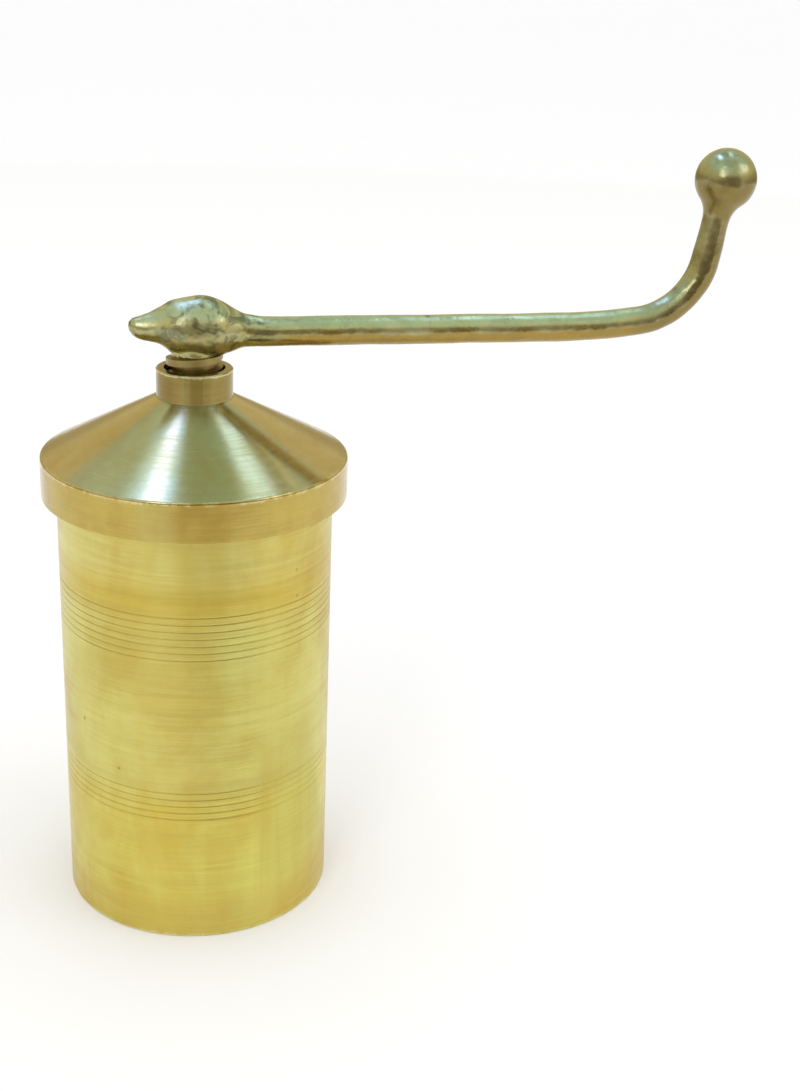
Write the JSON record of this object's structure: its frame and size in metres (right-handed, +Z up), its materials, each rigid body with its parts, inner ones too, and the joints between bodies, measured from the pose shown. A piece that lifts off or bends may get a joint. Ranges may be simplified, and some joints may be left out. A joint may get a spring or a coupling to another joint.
{
  "type": "sevai maker",
  "caption": "Hand press for string noodles: a crank on a screw spindle drives a presser down a round barrel onto a perforated die plate under a screw-on conical cap.",
  "frame": {"origin": "middle of the barrel's flat annular base, on the barrel's axis", "axes": "+Z up the barrel's axis, +X the way the crank arm points at rest, +Y away from the viewer of the picture"},
  "size_m": [0.1984, 0.084, 0.2154],
  "materials": {
    "barrel": "pale satin brass, turned, with soft vertical sheen and faint golden mottling",
    "die_plate": "turned brass disc, drilled all over",
    "cap": "brushed golden brass band, polished cone",
    "spindle": "dull machined brass thread",
    "crank_handle": "hand polished cast brass, slightly lumpy, greenish grey on top and amber below",
    "crank_pin": "plain brass pin, filed flush",
    "presser_plate": "turned cast brass",
    "thrust_washer": "plain flat brass",
    "retaining_washer": "plain flat brass",
    "retaining_nut": "plain machined brass"
  },
  "bodies": {
    "barrel": {"barrel": "barrel"},
    "die": {"die_plate": "die_plate"},
    "cap": {"cap": "cap"},
    "presser": {"presser_plate": "presser_plate", "thrust_washer": "thrust_washer"},
    "spindle": {"spindle": "spindle", "crank_handle": "crank_handle", "crank_pin": "crank_pin", "retaining_washer": "retaining_washer", "retaining_nut": "retaining_nut"}
  },
  "joints": [
    {"name": "cap_lift", "type": "slide", "parent": "barrel", "child": "cap", "axis": [0, 0, 1], "range_m": [0, 0.13]},
    {"name": "press_travel", "type": "slide", "parent": "cap", "child": "presser", "axis": [0, 0, 1], "range_m": [-0.0037, 0.1041]},
    {"name": "crank_turn", "type": "hinge", "parent": "presser", "child": "spindle", "pos_m": [0, 0, 0], "axis": [0, 0, 1], "range_deg": [-330, 9360]},
    {"name": "die_turn", "type": "hinge", "parent": "barrel", "child": "die", "pos_m": [0, 0, 0], "axis": [0, 0, 1], "continuous": true}
  ],
  "couplings": [
    {"joint": "press_travel", "follows": "crank_turn", "m_per_rad": 0.00063662}
  ]
}
